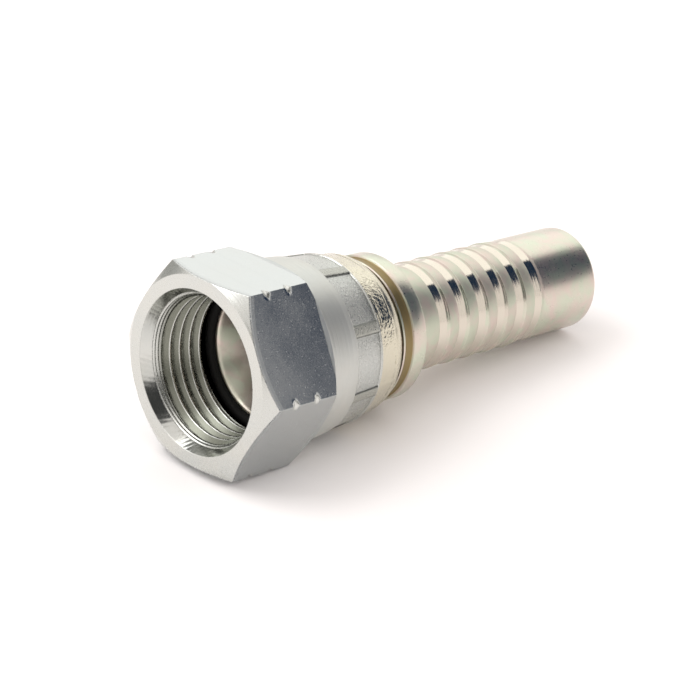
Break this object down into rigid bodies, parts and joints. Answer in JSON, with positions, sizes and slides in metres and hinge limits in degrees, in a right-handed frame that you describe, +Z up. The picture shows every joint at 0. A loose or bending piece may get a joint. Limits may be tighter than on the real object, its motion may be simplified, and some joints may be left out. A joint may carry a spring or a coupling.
{
  "type": "crimp hose fitting",
  "caption": "Straight crimp hose fitting: a turned insert with a ribbed hose tail, ferrule groove and flange, and a free-turning hex nut with internal thread over a flared cone seat.",
  "frame": {"origin": "on the table, under the middle of the fitting's bounding box as it lies", "axes": "+X runs along the lying fitting toward its hose tail and +Z is up. The fitting's own axis leans in the XZ plane, tail end down by 5.394 degrees."},
  "size_m": [0.067, 0.0278, 0.025],
  "materials": {
    "insert_zinc": "bright zinc plate with a faint yellow and pink passivation tint, turned",
    "ring_rubber": "smooth matte black rubber",
    "nut_zinc": "bright zinc plate, drawn flats and turned ends"
  },
  "bodies": {
    "insert": {"hose_insert": "insert_zinc", "o_ring": "ring_rubber"},
    "nut": {"swivel_nut": "nut_zinc"}
  },
  "joints": [
    {"name": "nut_swivel", "type": "hinge", "parent": "insert", "child": "nut", "pos_m": [-0.01871, 0, 0.01176], "axis": [0.9956, 0, -0.094], "continuous": true}
  ]
}
